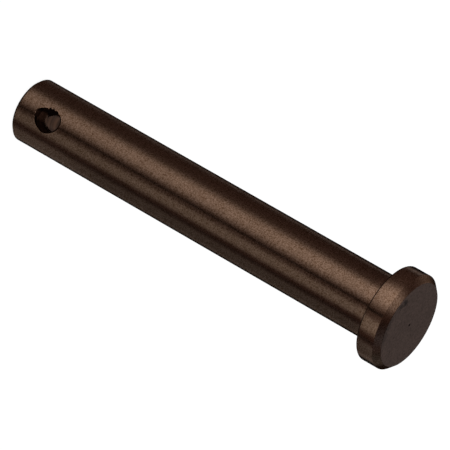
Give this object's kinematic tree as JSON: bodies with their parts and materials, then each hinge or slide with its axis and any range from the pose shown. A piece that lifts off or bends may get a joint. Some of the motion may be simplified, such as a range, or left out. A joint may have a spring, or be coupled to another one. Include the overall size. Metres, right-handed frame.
{
  "type": "clevis pin",
  "caption": "Plain round clevis pin with a flat chamfered disc head and a cross hole for a cotter near its tip.",
  "frame": {"origin": "centre of the flat end of the tip, which the pin stands on", "axes": "+Z along the pin from its tip to its head; the cotter hole runs along Y, and the mouth at -Y is the one in the picture"},
  "size_m": [0.0094, 0.0094, 0.0437],
  "materials": {
    "bronzed_steel": "dark bronze-brown finish on turned steel, satin, with fine marks round the pin"
  },
  "bodies": {
    "root": {"clevis_pin": "bronzed_steel"}
  },
  "joints": []
}
